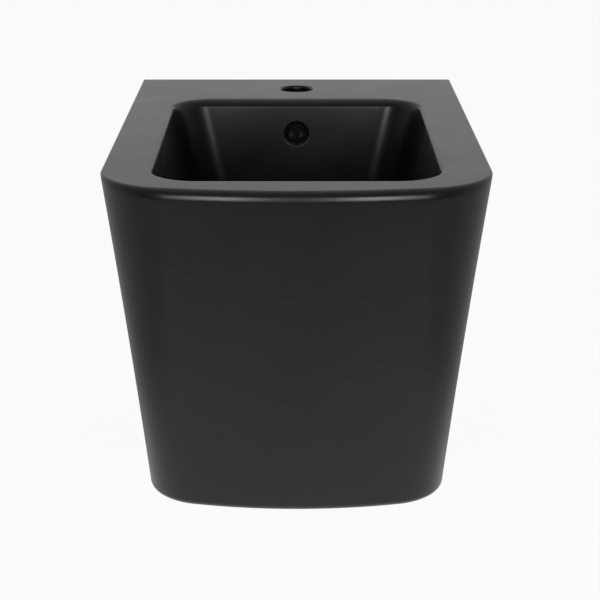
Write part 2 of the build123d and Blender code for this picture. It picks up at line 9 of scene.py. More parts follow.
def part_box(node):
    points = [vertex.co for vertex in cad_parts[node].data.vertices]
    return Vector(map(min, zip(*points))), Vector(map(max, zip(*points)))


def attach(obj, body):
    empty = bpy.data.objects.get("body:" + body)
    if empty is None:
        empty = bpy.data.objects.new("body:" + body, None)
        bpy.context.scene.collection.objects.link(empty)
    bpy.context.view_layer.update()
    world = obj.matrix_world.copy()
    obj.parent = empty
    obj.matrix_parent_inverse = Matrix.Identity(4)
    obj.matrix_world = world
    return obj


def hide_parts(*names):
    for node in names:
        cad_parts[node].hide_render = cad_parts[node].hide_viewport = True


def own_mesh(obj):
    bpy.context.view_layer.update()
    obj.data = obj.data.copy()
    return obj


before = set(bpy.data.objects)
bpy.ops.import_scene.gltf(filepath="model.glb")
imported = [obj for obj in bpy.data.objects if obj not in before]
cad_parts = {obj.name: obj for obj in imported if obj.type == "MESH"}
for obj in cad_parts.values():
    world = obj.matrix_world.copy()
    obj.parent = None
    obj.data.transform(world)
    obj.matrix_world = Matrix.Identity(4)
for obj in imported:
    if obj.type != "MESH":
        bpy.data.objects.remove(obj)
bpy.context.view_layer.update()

print("frame loaded:", len(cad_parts), "CAD nodes")


# Small helpers

def restNothing():
    if bpy.context.mode != "OBJECT":
        bpy.ops.object.mode_set(mode="OBJECT")
    bpy.ops.object.select_all(action="DESELECT")


def workOn(piece):
    restNothing()
    piece.select_set(True)
    bpy.context.view_layer.objects.active = piece


def editWhole(piece):
    workOn(piece)
    bpy.ops.object.mode_set(mode="EDIT")
    bpy.ops.mesh.select_all(action="SELECT")


def applyModifier(piece, kind, **settings):
    workOn(piece)
    modifier = piece.modifiers.new(kind.lower(), kind)
    for name, value in settings.items():
        setattr(modifier, name, value)
    bpy.ops.object.modifier_apply(modifier=modifier.name)


# Points nearer to each other than this are merged: while a piece is being made, and on a finished fitting
merge = {"work": 0.000005, "done": 0.000002}


def cleanUp(piece, distance=merge["work"]):
    editWhole(piece)
    bpy.ops.mesh.remove_doubles(threshold=distance)
    bpy.ops.mesh.dissolve_degenerate(threshold=distance)
    bpy.ops.mesh.select_all(action="SELECT")
    bpy.ops.mesh.normals_make_consistent(inside=False)
    bpy.ops.object.mode_set(mode="OBJECT")


# Takes each tool out of the piece, joins it on or keeps what they share, and throws the tool away
def carve(piece, *tools, how="DIFFERENCE"):
    for tool in tools:
        workOn(piece)
        cut = piece.modifiers.new("cut", "BOOLEAN")
        cut.operation = how
        cut.solver = "MANIFOLD"
        cut.object = tool
        bpy.ops.object.modifier_apply(modifier=cut.name)
        bpy.data.objects.remove(tool)


def smooth(piece, angle=32):
    workOn(piece)
    bpy.ops.object.shade_smooth_by_angle(angle=radians(angle), keep_sharp_edges=False)
    applyModifier(piece, "WEIGHTED_NORMAL", keep_sharp=True)


# Turns and moves a piece and writes both into its mesh, so that its object stays at the origin
def settle(piece, place=(0, 0, 0), turn=(0, 0, 0)):
    piece.rotation_euler = [radians(angle) for angle in turn]
    piece.location = place
    workOn(piece)
    bpy.ops.object.transform_apply(location=True, rotation=True, scale=True)


# A closed solid: one loop of vertices is extruded again and again and laid on each outline in turn
def loftLoops(name, loops):
    count = len(loops[0])
    restNothing()
    bpy.ops.mesh.primitive_circle_add(vertices=count, fill_type="NOTHING")
    piece = bpy.context.object
    piece.name = name
    bpy.ops.object.mode_set(mode="EDIT")
    bpy.ops.mesh.select_all(action="SELECT")
    mesh = bmesh.from_edit_mesh(piece.data)
    mesh.verts.ensure_lookup_table()
    for vertex, point in zip(mesh.verts, loops[0]):
        vertex.co = point
    bpy.ops.mesh.edge_face_add()
    bpy.ops.mesh.select_mode(type="EDGE")
    slots = list(range(count))
    for loop in loops[1:]:
        bpy.ops.mesh.extrude_edges_move()
        mesh = bmesh.from_edit_mesh(piece.data)
        mesh.verts.ensure_lookup_table()
        before = len(mesh.verts) - count
        newSlots = []
        for vertex in mesh.verts[before:]:
            others = [edge.other_vert(vertex) for edge in vertex.link_edges]
            source = next(other for other in others if other.index < before)
            newSlots.append(slots[source.index - before + count])
        for vertex, slot in zip(mesh.verts[before:], newSlots):
            vertex.co = loop[slot]
        slots = newSlots
    bpy.ops.mesh.edge_face_add()
    bpy.ops.mesh.select_mode(type="VERT")
    bpy.ops.mesh.select_all(action="SELECT")
    bpy.ops.mesh.normals_make_consistent(inside=False)
    bpy.ops.object.mode_set(mode="OBJECT")
    return piece


# Corners on the axis or that turn by less than "straight", in radians, stay as they are
softCorner = {
    "onAxis": 0.00001, "straight": 0.05, "sideShare": 0.47, "fineBend": 0.0015, "fineSteps": 3, "steps": 9,
}


# Rounds the corners of a closed profile; a corner may bring its own radius as a third number
def softCorners(corners, radius=0.0004):
    points, s = [], softCorner
    for i, corner in enumerate(corners):
        here, before = Vector(corner[:2]), Vector(corners[i - 1][:2])
        after = Vector(corners[(i + 1) % len(corners)][:2])
        wanted = corner[2] if len(corner) > 2 else radius
        toBefore, toAfter = before - here, after - here
        opening = toBefore.angle(toAfter)
        if here.x < s["onAxis"] or wanted == 0 or opening > pi - s["straight"]:
            points.append(tuple(here))
            continue
        room = s["sideShare"] * toBefore.length, s["sideShare"] * toAfter.length
        reach = min(wanted / tan(opening / 2), *room)
        bend = reach * tan(opening / 2)
        back, onward = toBefore.normalized(), toAfter.normalized()
        middle = here + (back + onward).normalized() * bend / sin(opening / 2)
        start, end = here + back * reach - middle, here + onward * reach - middle
        sweep, steps = pi - opening, s["fineSteps"] if bend < s["fineBend"] else s["steps"]
        for k in range(steps + 1):
            share = k / steps
            spoke = start * sin((1 - share) * sweep) + end * sin(share * sweep)
            points.append(tuple(middle + spoke / sin(sweep)))
    return points


# A closed profile of (radius, height) spun round the upright axis, tilted about X and put in its place
def turnProfile(name, profile, place=(0, 0, 0), steps=96, tilt=0):
    restNothing()
    bpy.ops.mesh.primitive_circle_add(vertices=len(profile), fill_type="NOTHING")
    piece = bpy.context.object
    piece.name = name
    bpy.ops.object.mode_set(mode="EDIT")
    mesh = bmesh.from_edit_mesh(piece.data)
    mesh.verts.ensure_lookup_table()
    for vertex, (radius, height) in zip(mesh.verts, profile):
        vertex.co = (radius, 0, height)
    bpy.ops.mesh.select_all(action="SELECT")
    bpy.ops.mesh.spin(steps=steps, angle=2 * pi, center=(0, 0, 0), axis=(0, 0, 1))
    bpy.ops.object.mode_set(mode="OBJECT")
    cleanUp(piece)
    settle(piece, place, (tilt, 0, 0))
    return piece


# A plain cylinder between two heights, mostly used as a cutter
def drilled(name, radius, low, high, place, tilt=0, steps=96):
    return turnProfile(name, [(0, low), (radius, low), (radius, high), (0, high)], place, steps, tilt)


# A block between two corners, used as a cutter or a start
def boxBetween(name, low, high):
    restNothing()
    centre = [(a + b) / 2 for a, b in zip(low, high)]
    bpy.ops.mesh.primitive_cube_add(size=1, location=centre)
    piece = bpy.context.object
    piece.name = name
    piece.scale = [b - a for a, b in zip(low, high)]
    bpy.ops.object.transform_apply(location=True, rotation=True, scale=True)
    return piece


# Pairs of drop and inset from the flat face round to the wall
def quarterRound(radius, steps):
    angles = [pi / 2 * i / steps for i in range(steps + 1)]
    return [(radius * (1 - cos(a)), radius * (1 - sin(a))) for a in angles]


def insetAt(drop, radius):
    return 0.0 if drop >= radius else radius - sqrt(radius ** 2 - (radius - drop) ** 2)


# Ceramic body: the outside, the bowl and the hollow behind them

ceramicLow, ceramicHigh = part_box("ceramic_body")
shell = {
    "rimZ": ceramicHigh.z,
    "footZ": ceramicLow.z,
    "halfWidth": 0.180,
    "footHalfWidth": 0.1477,
    "frontY": -0.530,
    "setback": 0.0857,
    "hollow": 0.11,
    "corner": 0.077,
    "footCorner": 0.059,
    "bow": 0.0243,
    "footBow": 0.0236,
    "frontRounding": 0.011,
    "sideRounding": 0.0025,
    "footRounding": 0.008,
    "wall": 0.010,
    "deck": 0.016,
    "backPlate": 0.014,
    "sideSteps": 44,
    "cornerSteps": 26,
    "frontSteps": 44,
    "backSteps": 30,
    "wallLevels": 26,
    "footLevels": 7,
    "rimLevels": 14,
    "hollowLevels": 16,
    "clayReach": 0.0003,
}
bowl = {
    "halfWidth": 0.1337,
    "frontY": -0.477,
    "backY": -0.123,
    "corner": 0.038,
    "sideAngle": 13,
    "frontAngle": 10,
    "backAngle": 5,
    "depth": 0.130,
    "rimRounding": 0.012,
    "rimDrop": 0.0085,
    "sideRounding": 0.004,
    "floorRounding": 0.030,
    "floorFall": 0.010,
    "wall": 0.010,
    "steps": 28,
    "cornerSteps": 14,
    "rimLevels": 12,
    "wallLevels": 10,
    "floorLevels": 14,
    "fallLevels": 14,
    "fallPower": 1.25,
    "outerDrop": 0.008,
    "outerWallLevels": 9,
    "outerFloorLevels": 10,
    "outerFallLevels": 5,
}
drain = {
    "y": -0.270,
    "recessRadius": 0.034,
    "recessDepth": 0.004,
    "recessEdge": 0.0012,
    "edgeLevels": 4,
    "throatRadius": 0.023,
    "throatTopZ": -0.062,
    "bossRadius": 0.04195,
    "bossOverlap": 0.006,
    "bossEndZ": -0.106,
}
drainPlace = (0, drain["y"], 0)
tapHole = {"y": -0.056, "radius": 0.0175, "lip": 0.003}
overflow = {"z": 0.043, "radius": 0.0125, "lip": 0.002}
duct = {
    "halfWidth": 0.015,
    "behindWall": 0.002,
    "gap": 0.016,
    "floorZ": -0.095,
    "runHeight": 0.016,
    "topRoom": 0.002,
    "wall": 0.008,
}
fixing = {"x": 0.090, "lugRadius": 0.022, "lugLength": 0.030, "lugBevel": 0.002, "holeRadius": 0.012}
fixingPlaces = [(side * fixing["x"], 0, 0) for side in (-1, 1)]
service = {
    "halfWidth": 0.1057,
    "frontY": -0.4023,
    "corner": 0.040,
    "lip": 0.0025,
    "archHalfWidth": 0.065,
    "archTopZ": -0.072,
    "archCorner": 0.025,
    "lipLevels": 5,
    "sideSteps": 12,
    "cornerSteps": 16,
    "archSteps": 14,
}
# How far a cutter runs past what it cuts, and a joined piece into its neighbour
past = {"far": 0.004, "mouth": 0.003, "near": 0.002, "thin": 0.001, "joint": 0.0005}


def alongLine(start, end, steps):
    wide, deep = end[0] - start[0], end[1] - start[1]
    return [(start[0] + wide * i / steps, start[1] + deep * i / steps) for i in range(steps)]


# Points on an arc, angles measured from straight ahead (-Y) towards the right
def alongArc(centre, radius, startAngle, endAngle, steps):
    angles = [startAngle + (endAngle - startAngle) * i / steps for i in range(steps)]
    return [(centre[0] + radius * sin(a), centre[1] - radius * cos(a)) for a in angles]


# Plan outline of the outside: straight sides, round front corners, bowed front and a straight back
def outsideLoop(z, sideInset, frontInset, backY):
    drop = (shell["rimZ"] - z) / (shell["rimZ"] - shell["footZ"])
    taper = drop + shell["hollow"] * drop * (1 - drop)
    half = shell["halfWidth"] + (shell["footHalfWidth"] - shell["halfWidth"]) * taper - sideInset
    frontY = shell["frontY"] + shell["setback"] * taper + frontInset
    corner = shell["corner"] + (shell["footCorner"] - shell["corner"]) * drop - frontInset
    bow = shell["bow"] + (shell["footBow"] - shell["bow"]) * drop
    bowRadius = (half ** 2 + bow ** 2) / (2 * bow)
    centreX = half - corner
    rise = sqrt((bowRadius - corner) ** 2 - centreX ** 2)
    cornerY = frontY + bowRadius - rise
    meet = atan2(centreX, rise)
    points = alongLine((half, backY), (half, cornerY), shell["sideSteps"])
    points += alongArc((centreX, cornerY), corner, pi / 2, meet, shell["cornerSteps"])
    points += alongArc((0, frontY + bowRadius), bowRadius, meet, -meet, shell["frontSteps"])
    points += alongArc((-centreX, cornerY), corner, -meet, -pi / 2, shell["cornerSteps"])
    points += alongLine((-half, cornerY), (-half, backY), shell["sideSteps"])
    points += alongLine((-half, backY), (half, backY), shell["backSteps"])
    return [(x, y, z) for x, y in points]


# Plan outline of a rectangle with round corners
def roundedLoop(z, half, frontY, backY, corner, steps, cornerSteps):
    points = alongLine((half, backY - corner), (half, frontY + corner), steps)
    points += alongArc((half - corner, frontY + corner), corner, pi / 2, 0, cornerSteps)
    points += alongLine((half - corner, frontY), (corner - half, frontY), steps)
    points += alongArc((corner - half, frontY + corner), corner, 0, -pi / 2, cornerSteps)
    points += alongLine((-half, frontY + corner), (-half, backY - corner), steps)
    points += alongArc((corner - half, backY - corner), corner, -pi / 2, -pi, cornerSteps)
    points += alongLine((corner - half, backY), (half - corner, backY), steps)
    points += alongArc((half - corner, backY - corner), corner, pi, pi / 2, cornerSteps)
    return [(x, y, z) for x, y in points]


# Plan outline of the bowl at a drop below the rim, grown outwards, and at its sides by its own amount
def bowlLoop(drop, growth, z, sideGrowth=None):
    sideGrowth = growth if sideGrowth is None else sideGrowth
    half = bowl["halfWidth"] - drop * tan(radians(bowl["sideAngle"])) + sideGrowth
    frontY = bowl["frontY"] + drop * tan(radians(bowl["frontAngle"])) - growth
    backY = bowl["backY"] - drop * tan(radians(bowl["backAngle"])) + growth
    return roundedLoop(z, half, frontY, backY, bowl["corner"] + growth, bowl["steps"], bowl["cornerSteps"])


# Loops that fall from an outline to a circle round the drain
def fallToDrain(edge, endRadius, endZ, levels, power=1):
    loops = []
    for i in range(1, levels + 1):
        share = i / levels
        loop = []
        for x, y, z in edge:
            away = Vector((x, y - drain["y"]))
            spot = away.normalized() * (away.length + (endRadius - away.length) * share)
            loop.append((spot.x, spot.y + drain["y"], z + (endZ - z) * share ** power))
        loops.append(loop)
    return loops


def makeOutside():
    loops = []
    foot, rim = shell["footZ"], shell["rimZ"]
    for drop, inset in quarterRound(shell["footRounding"], shell["footLevels"]):
        loops.append(outsideLoop(foot + drop, inset, inset, 0.0))
    low, high = foot + shell["footRounding"], rim - shell["frontRounding"]
    for i in range(1, shell["wallLevels"]):
        loops.append(outsideLoop(low + (high - low) * i / shell["wallLevels"], 0, 0, 0.0))
    for drop, inset in reversed(quarterRound(shell["frontRounding"], shell["rimLevels"])):
        loops.append(outsideLoop(rim - drop, insetAt(drop, shell["sideRounding"]), inset, 0.0))
    return loftLoops("bidetBody", loops)


def makeBowlHollow():
    b, rim = bowl, shell["rimZ"]
    loops = [bowlLoop(0, b["rimRounding"], rim + past["far"], b["sideRounding"])]
    for drop, growth in quarterRound(b["rimRounding"], b["rimLevels"]):
        drop *= b["rimDrop"] / b["rimRounding"]
        loops.append(bowlLoop(drop, growth, rim - drop, insetAt(drop, b["sideRounding"])))
    low = b["depth"] - b["floorRounding"]
    for i in range(1, b["wallLevels"]):
        drop = b["rimDrop"] + (low - b["rimDrop"]) * i / b["wallLevels"]
        loops.append(bowlLoop(drop, 0, rim - drop))
    for i in range(b["floorLevels"] + 1):
        angle = pi / 2 * i / b["floorLevels"]
        drop = low + b["floorRounding"] * sin(angle)
        loops.append(bowlLoop(drop, b["floorRounding"] * (cos(angle) - 1), rim - drop))
    seatZ = rim - b["depth"] - b["floorFall"]
    loops += fallToDrain(loops[-1], drain["recessRadius"], seatZ, b["fallLevels"], b["fallPower"])
    last, levels = loops[-1], drain["edgeLevels"]
    for i in range(1, levels + 1):
        angle = pi / 2 * i / levels
        shrink = 1 - drain["recessEdge"] * sin(angle) / drain["recessRadius"]
        sink = drain["recessEdge"] * (1 - cos(angle))
        loops.append([(x * shrink, (y - drain["y"]) * shrink + drain["y"], z - sink) for x, y, z in last])
    loops.append([(x, y, seatZ - drain["recessDepth"]) for x, y, z in loops[-1]])
    return loftLoops("bowlHollow", loops)


# What is hollow behind the deck and round the bowl: the cavity less the bowl, the boss, the duct and the lugs
def makeHollow():
    b, rim, grow = bowl, shell["rimZ"], bowl["wall"]
    top, bottom = rim - shell["deck"], shell["footZ"] + shell["wall"]
    loops, levels = [], shell["hollowLevels"]
    for i in range(levels + 1):
        z = bottom + (top - bottom) * i / levels
        loops.append(outsideLoop(z, shell["wall"], shell["wall"], -shell["backPlate"]))
    hollow = loftLoops("hollow", loops)
    first, low = b["outerDrop"], b["depth"] - b["floorRounding"]
    loops, levels = [], b["outerWallLevels"]
    for i in range(levels):
        drop = first + (low - first) * i / levels
        loops.append(bowlLoop(drop, grow, rim - drop))
    for i in range(b["outerFloorLevels"] + 1):
        angle = pi / 2 * i / b["outerFloorLevels"]
        growth = (b["floorRounding"] + grow) * cos(angle) - b["floorRounding"]
        drop = low + (b["floorRounding"] + grow) * sin(angle)
        loops.append(bowlLoop(min(drop, b["depth"]), growth, rim - drop))
    endZ = rim - b["depth"] - b["floorFall"] - grow
    loops += fallToDrain(loops[-1], drain["bossRadius"] + past["near"], endZ, b["outerFallLevels"])
    bowlShell = loftLoops("bowlShell", loops)
    startZ = endZ + drain["bossOverlap"]
    boss = drilled("boss", drain["bossRadius"], startZ, drain["bossEndZ"], drainPlace)
    radius, length, bevel = fixing["lugRadius"], fixing["lugLength"], fixing["lugBevel"]
    profile = [(0, 0), (radius, 0), (radius, length - bevel), (radius - bevel, length), (0, length)]
    lugs = [turnProfile("lug", profile, place, steps=64, tilt=90) for place in fixingPlaces]
    carve(hollow, bowlShell, boss, makeDuct(duct["wall"]), *lugs)
    return hollow


# Where the bowl's rear wall is at the height of the overflow hole
def overflowWallY():
    return bowl["backY"] - (shell["rimZ"] - overflow["z"]) * tan(radians(bowl["backAngle"]))


# The overflow duct behind and under the bowl, as its hollow or, with extra, as its outside
def makeDuct(extra):
    frontY = overflowWallY() + bowl["wall"] + duct["behindWall"]
    half, low = duct["halfWidth"] + extra, duct["floorZ"] - extra
    top = overflow["z"] + overflow["radius"] + duct["topRoom"] + extra
    runTop = duct["floorZ"] + duct["runHeight"] + extra
    backY = frontY + duct["gap"] + extra
    upright = boxBetween("ductUpright", (-half, frontY - extra, low), (half, backY, top))
    run = boxBetween("ductRun", (-half, drain["y"], low), (half, backY, runTop))
    carve(upright, run, how="UNION")
    return upright


# A cutter for a round hole whose mouth has a rounded lip
def lippedHole(name, radius, lip, length, place, tilt, levels=10):
    profile = [(0, past["mouth"]), (radius + lip, past["mouth"]), (radius + lip, 0)]
    for i in range(1, levels + 1):
        angle = pi / 2 * i / levels
        profile.append((radius + lip * (1 - sin(angle)), -lip * (1 - cos(angle))))
    profile += [(radius, -length), (0, -length)]
    return turnProfile(name, profile, place, steps=128, tilt=tilt)


# The opening in the underside with its rounded lip, and the arch in the back plate for the pipes
def makeServiceOpening():
    foot, back = shell["footZ"], -shell["backPlate"]
    levels = [(foot - past["far"], service["lip"])]
    levels += [(foot + drop, inset) for drop, inset in quarterRound(service["lip"], service["lipLevels"])]
    levels.append((foot + shell["wall"] + past["near"], 0))
    loops = []
    for z, growth in levels:
        half, frontY = service["halfWidth"] + growth, service["frontY"] - growth
        corner, steps = service["corner"] + growth, (service["sideSteps"], service["cornerSteps"])
        loops.append(roundedLoop(z, half, frontY, back, corner, *steps))
    under = loftLoops("underOpening", loops)
    half, topZ = service["archHalfWidth"], service["archTopZ"]
    low, high = (-half, back - service["corner"], foot - past["far"]), (half, past["far"], topZ)
    arch = boxBetween("arch", low, high)
    editWhole(arch)
    bpy.ops.mesh.select_all(action="DESELECT")
    mesh = bmesh.from_edit_mesh(arch.data)
    for edge in mesh.edges:  # the two upper edges that run into the wall
        a, b = (v.co for v in edge.verts)
        edge.select_set(min(a.z, b.z) > topZ - past["thin"] and abs(a.y - b.y) > shell["backPlate"] / 2)
    bmesh.update_edit_mesh(arch.data)
    bpy.ops.mesh.bevel(offset=service["archCorner"], segments=service["archSteps"], affect="EDGES")
    bpy.ops.object.mode_set(mode="OBJECT")
    carve(under, arch, how="UNION")
    return under


# What is behind the glaze: faces that lie on the hollow's own surface stay unglazed, and so does the back
def markUnglazed(body, hollowTree):
    for face in body.data.polygons:
        spot = face.center
        near = hollowTree.find_nearest(spot, shell["clayReach"])[0] is not None
        onBack = spot.y > -shell["clayReach"]
        face.material_index = 1 if near or onBack else 0


def makeCeramic():
    body = makeOutside()
    print("outside:", len(body.data.vertices), "points")
    hollow = makeHollow()
    hollowTree = BVHTree.FromObject(hollow, bpy.context.evaluated_depsgraph_get())
    carve(body, hollow)
    carve(body, makeBowlHollow())
    low = drain["bossEndZ"] - past["near"]
    throat = drilled("throat", drain["throatRadius"], low, drain["throatTopZ"], drainPlace)
    carve(body, throat, makeDuct(0))
    print("bowl, hollow and duct cut")
    tapPlace = (0, tapHole["y"], shell["rimZ"])
    reach = shell["deck"] + past["near"]
    carve(body, lippedHole("tapCut", tapHole["radius"], tapHole["lip"], reach, tapPlace, 0))
    reach, mouth = bowl["wall"] + duct["gap"] / 2, (0, overflowWallY(), overflow["z"])
    tilt = 90 - bowl["backAngle"]
    carve(body, lippedHole("overflowCut", overflow["radius"], overflow["lip"], reach, mouth, tilt))
    low, high = -past["near"], fixing["lugLength"] + past["near"]
    for place in fixingPlaces:
        carve(body, drilled("fixingCut", fixing["holeRadius"], low, high, place, tilt=90, steps=64))
    carve(body, makeServiceOpening())
    cleanUp(body)
    body.data.materials.clear()
    body.data.materials.append(blackGlaze)
    body.data.materials.append(unglazedClay)
    markUnglazed(body, hollowTree)
    smooth(body)
    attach(body, "bidet")
    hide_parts("ceramic_body")
    print("ceramic body done:", len(body.data.polygons), "faces")


# Finishes: each reads Object coordinates, and its dictionary holds what a user would change

def newMaterial(name):
    material = bpy.data.materials.new(name)
    material.use_nodes = True
    nodes = material.node_tree.nodes
    nodes.clear()
    output = nodes.new("ShaderNodeOutputMaterial")
    shader = nodes.new("ShaderNodeBsdfPrincipled")
    material.node_tree.links.new(shader.outputs["BSDF"], output.inputs["Surface"])
    return material, nodes, material.node_tree.links, shader


def addNoise(nodes, links, scale, detail, stretch=(1, 1, 1)):
    place = nodes.new("ShaderNodeTexCoord")
    turn = nodes.new("ShaderNodeMapping")
    turn.inputs["Scale"].default_value = stretch
    noise = nodes.new("ShaderNodeTexNoise")
    noise.inputs["Scale"].default_value = scale
    noise.inputs["Detail"].default_value = detail
    links.new(place.outputs["Object"], turn.inputs["Vector"])
    links.new(turn.outputs["Vector"], noise.inputs["Vector"])
    return noise.outputs["Fac"]


# The three coordinates of a texture space as separate values
def addAxes(nodes, links, space):
    place = nodes.new("ShaderNodeTexCoord")
    split = nodes.new("ShaderNodeSeparateXYZ")
    links.new(place.outputs[space], split.inputs["Vector"])
    return split.outputs


def addMath(nodes, links, operation, *sources):
    step = nodes.new("ShaderNodeMath")
    step.operation = operation
    for socket, source in zip(step.inputs, sources):
        if isinstance(source, float):
            socket.default_value = source
        else:
            links.new(source, socket)
    return step.outputs[0]


def addRange(nodes, links, source, low, high, start=0.0, end=1.0):
    level = nodes.new("ShaderNodeMapRange")
    level.inputs["From Min"].default_value = start
    level.inputs["From Max"].default_value = end
    level.inputs["To Min"].default_value = low
    level.inputs["To Max"].default_value = high
    links.new(source, level.inputs["Value"])
    return level.outputs["Result"]


# Adds one more layer of bump over the normal that is there already
def addBump(nodes, links, height, strength, distance, under=None):
    bump = nodes.new("ShaderNodeBump")
    bump.inputs["Strength"].default_value = strength
    bump.inputs["Distance"].default_value = distance
    links.new(height, bump.inputs["Height"])
    if under is not None:
        links.new(under, bump.inputs["Normal"])
    return bump.outputs["Normal"]


def mixColour(nodes, links, factor, first, second):
    tint = nodes.new("ShaderNodeMix")
    tint.data_type = "RGBA"
    links.new(factor, tint.inputs["Factor"])
    for name, colour in (("A", first), ("B", second)):
        if isinstance(colour, tuple):
            tint.inputs[name].default_value = (*colour, 1)
        else:
            links.new(colour, tint.inputs[name])
    return tint.outputs["Result"]


# What all finishes share: the part of each noise that shows, and the depth of each bump in metres
finishing = {
    "cloud": (0.3, 0.7), "cloudDetail": 4, "lines": (0.45, 0.75), "grainDetail": 3, "grainDepth": 0.0001,
    "waveDetail": 2, "waveDepth": 0.0005,
}


# One finish: mottled colour and roughness, a slow waviness and a fine grain
def makeFinish(name, look):
    material, nodes, links, shader = newMaterial(name)
    f = finishing
    cloud = addNoise(nodes, links, look["mottle"], f["cloudDetail"])
    grain = addNoise(nodes, links, look["grain"], f["grainDetail"], look.get("stretch", (1, 1, 1)))
    share = addRange(nodes, links, cloud, 0, 1, *f["cloud"])
    colour = mixColour(nodes, links, share, look["dark"], look["light"])
    if "line" in look:
        lines = addRange(nodes, links, grain, 0, look["line"], *f["lines"])
        colour = mixColour(nodes, links, lines, colour, look["lineColour"])
    links.new(colour, shader.inputs["Base Color"])
    roughness = addRange(nodes, links, cloud, *look["roughness"], *f["cloud"])
    links.new(roughness, shader.inputs["Roughness"])
    wave = addNoise(nodes, links, look["wave"], f["waveDetail"])
    normal = addBump(nodes, links, wave, look["waveStrength"], f["waveDepth"])
    normal = addBump(nodes, links, grain, look["grainStrength"], f["grainDepth"], normal)
    links.new(normal, shader.inputs["Normal"])
    shader.inputs["Metallic"].default_value = look.get("metallic", 0)
    shader.inputs["IOR"].default_value = look.get("ior", 1.5)
    shader.inputs["Specular IOR Level"].default_value = look.get("specular", 0.5)
    return material, nodes, links, shader, colour


glazeLook = {
    "dark": (0.0026, 0.0025, 0.0030), "light": (0.0040, 0.0038, 0.0045), "roughness": (0.26, 0.30),
    "ior": 1.40, "mottle": 14, "grain": 900, "wave": 26, "waveStrength": 0.05, "grainStrength": 0.10,
    "line": 0.10, "lineColour": (0.016, 0.016, 0.017),
}
# Fired clay without glaze, with the glaze that drifted in from the edge of the opening
biscuitLook = {
    "dark": (0.50, 0.45, 0.385), "light": (0.64, 0.59, 0.52), "roughness": (0.80, 0.93), "ior": 1.45,
    "mottle": 22, "grain": 520, "wave": 60, "waveStrength": 0.25, "grainStrength": 0.55, "specular": 0.3,
    "line": 0.35, "lineColour": (0.36, 0.31, 0.26), "driftTop": -0.215, "driftFoot": -0.252,
    "ragged": 0.022, "raggedNoise": (70, 5), "raggedShare": (0.25, 0.75),
}
chromeLook = {
    "dark": (0.70, 0.71, 0.73), "light": (0.80, 0.81, 0.83), "roughness": (0.06, 0.13), "metallic": 1,
    "mottle": 45, "grain": 700, "wave": 90, "waveStrength": 0.02, "grainStrength": 0.02,
}
blackCoatLook = {
    "dark": (0.010, 0.010, 0.011), "light": (0.015, 0.015, 0.016), "roughness": (0.34, 0.42), "ior": 1.45,
    "mottle": 60, "grain": 1500, "wave": 420, "waveStrength": 0.10, "grainStrength": 0.10,
}
brassLook = {
    "dark": (0.50, 0.36, 0.15), "light": (0.64, 0.49, 0.24), "roughness": (0.22, 0.38), "metallic": 1,
    "mottle": 55, "grain": 90, "stretch": (1, 1, 40), "wave": 150,
    "waveStrength": 0.05, "grainStrength": 0.25, "line": 0.35, "lineColour": (0.36, 0.25, 0.10),
}
zincLook = {
    "dark": (0.46, 0.48, 0.50), "light": (0.62, 0.63, 0.62), "roughness": (0.26, 0.42), "metallic": 1,
    "mottle": 120, "grain": 260, "stretch": (1, 12, 1), "wave": 240,
    "waveStrength": 0.10, "grainStrength": 0.20, "line": 0.30, "lineColour": (0.56, 0.52, 0.40),
}
rubberLook = {
    "dark": (0.014, 0.014, 0.014), "light": (0.026, 0.026, 0.025), "roughness": (0.66, 0.82), "ior": 1.45,
    "mottle": 70, "grain": 1100, "wave": 200, "waveStrength": 0.12, "grainStrength": 0.35, "specular": 0.4,
}
plasticLook = {
    "dark": (0.70, 0.70, 0.675), "light": (0.78, 0.78, 0.76), "roughness": (0.36, 0.50), "ior": 1.46,
    "mottle": 40, "grain": 900, "wave": 130, "waveStrength": 0.06, "grainStrength": 0.12,
}


def makeBiscuit():
    look = biscuitLook
    material, nodes, links, shader, colour = makeFinish("unglazedClay", look)
    noise = addNoise(nodes, links, *look["raggedNoise"])
    ragged = addRange(nodes, links, noise, -look["ragged"], look["ragged"], *look["raggedShare"])
    height = addMath(nodes, links, "ADD", addAxes(nodes, links, "Object")["Z"], ragged)
    drift = addRange(nodes, links, height, 1, 0, look["driftFoot"], look["driftTop"])
    links.new(mixColour(nodes, links, drift, colour, glazeLook["light"]), shader.inputs["Base Color"])
    return material


blackGlaze = makeFinish("satinBlackGlaze", glazeLook)[0]
unglazedClay = makeBiscuit()
# The fittings' finishes by material slot
finishes = {
    "chromed_brass": makeFinish("polishedChrome", chromeLook)[0],
    "black_coating": makeFinish("satinBlackCoat", blackCoatLook)[0],
    "raw_brass": makeFinish("turnedBrass", brassLook)[0],
    "zinc_steel": makeFinish("zincPlate", zincLook)[0],
    "black_rubber": makeFinish("blackRubber", rubberLook)[0],
    "white_plastic": makeFinish("whitePlastic", plasticLook)[0],
}
print("finishes made")

makeCeramic()


# Fittings: turned, cut and joined pieces, each in the place of its CAD node

def finishPiece(piece, body, node, slot, angle=32):
    cleanUp(piece, merge["done"])
    smooth(piece, angle)
    piece.data.materials.clear()
    piece.data.materials.append(finishes[slot])
    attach(piece, body)
    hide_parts(node)
    print("made", piece.name, len(piece.data.polygons))


def turned(name, corners, place, tilt=0, radius=0.0004, steps=96):
    return turnProfile(name, softCorners(corners, radius), place, steps, tilt)


# Two pieces that are alike, at the left and the right fixing, in one mesh
def pairUp(first, second, name):
    restNothing()
    first.select_set(True)
    second.select_set(True)
    bpy.context.view_layer.objects.active = first
    bpy.ops.object.join()
    first.name = name
    return first


